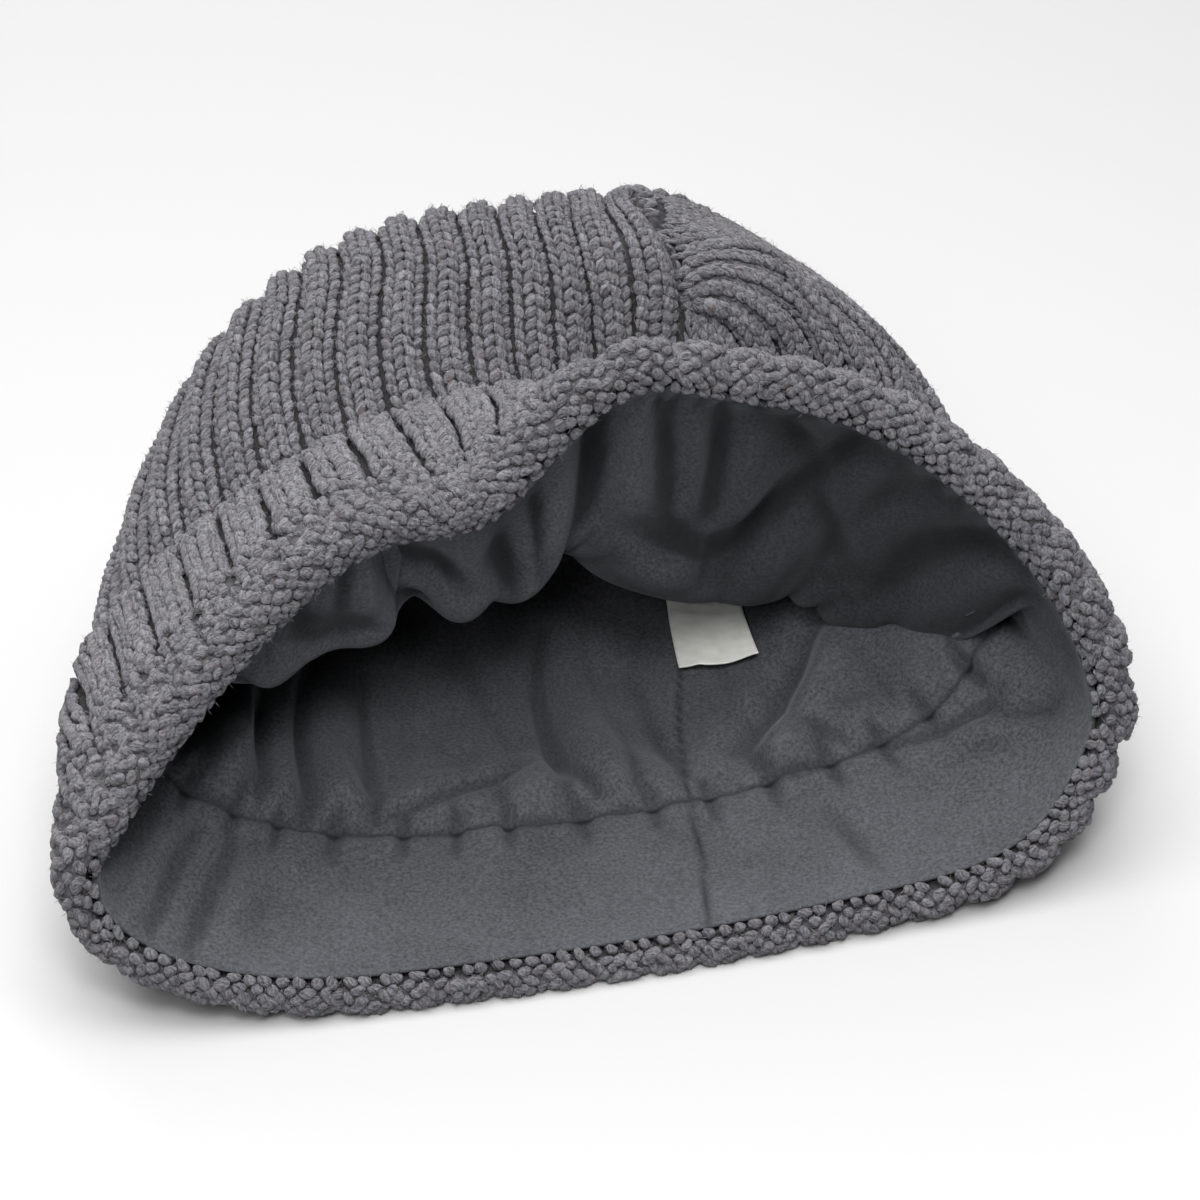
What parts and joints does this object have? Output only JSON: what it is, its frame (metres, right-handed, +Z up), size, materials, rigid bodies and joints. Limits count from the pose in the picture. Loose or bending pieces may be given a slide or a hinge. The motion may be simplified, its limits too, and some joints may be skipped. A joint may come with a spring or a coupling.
{
  "type": "lined ribbed knit beanie",
  "caption": "Chunky ribbed knit beanie with turned-up cuff and fleece lining, lying on its side with the mouth open to the front.",
  "frame": {"origin": "centre of the outline at the level of the surface it lies on", "axes": "+X to the wearer's side across the mouth, -Y towards the mouth, +Z up from the surface it lies on"},
  "size_m": [0.2246, 0.1797, 0.1156],
  "materials": {
    "wool_knit": "heathered mid grey chunky wool rib, matt and slightly fuzzy",
    "fleece": "dark slate grey brushed cotton fleece, matt",
    "satin_label": "plain off-white woven satin with a soft sheen"
  },
  "bodies": {
    "root": {"knit_crown": "wool_knit", "knit_cuff": "wool_knit", "lining_band": "fleece", "lining_crown": "fleece", "sewn_label": "satin_label"}
  },
  "joints": []
}
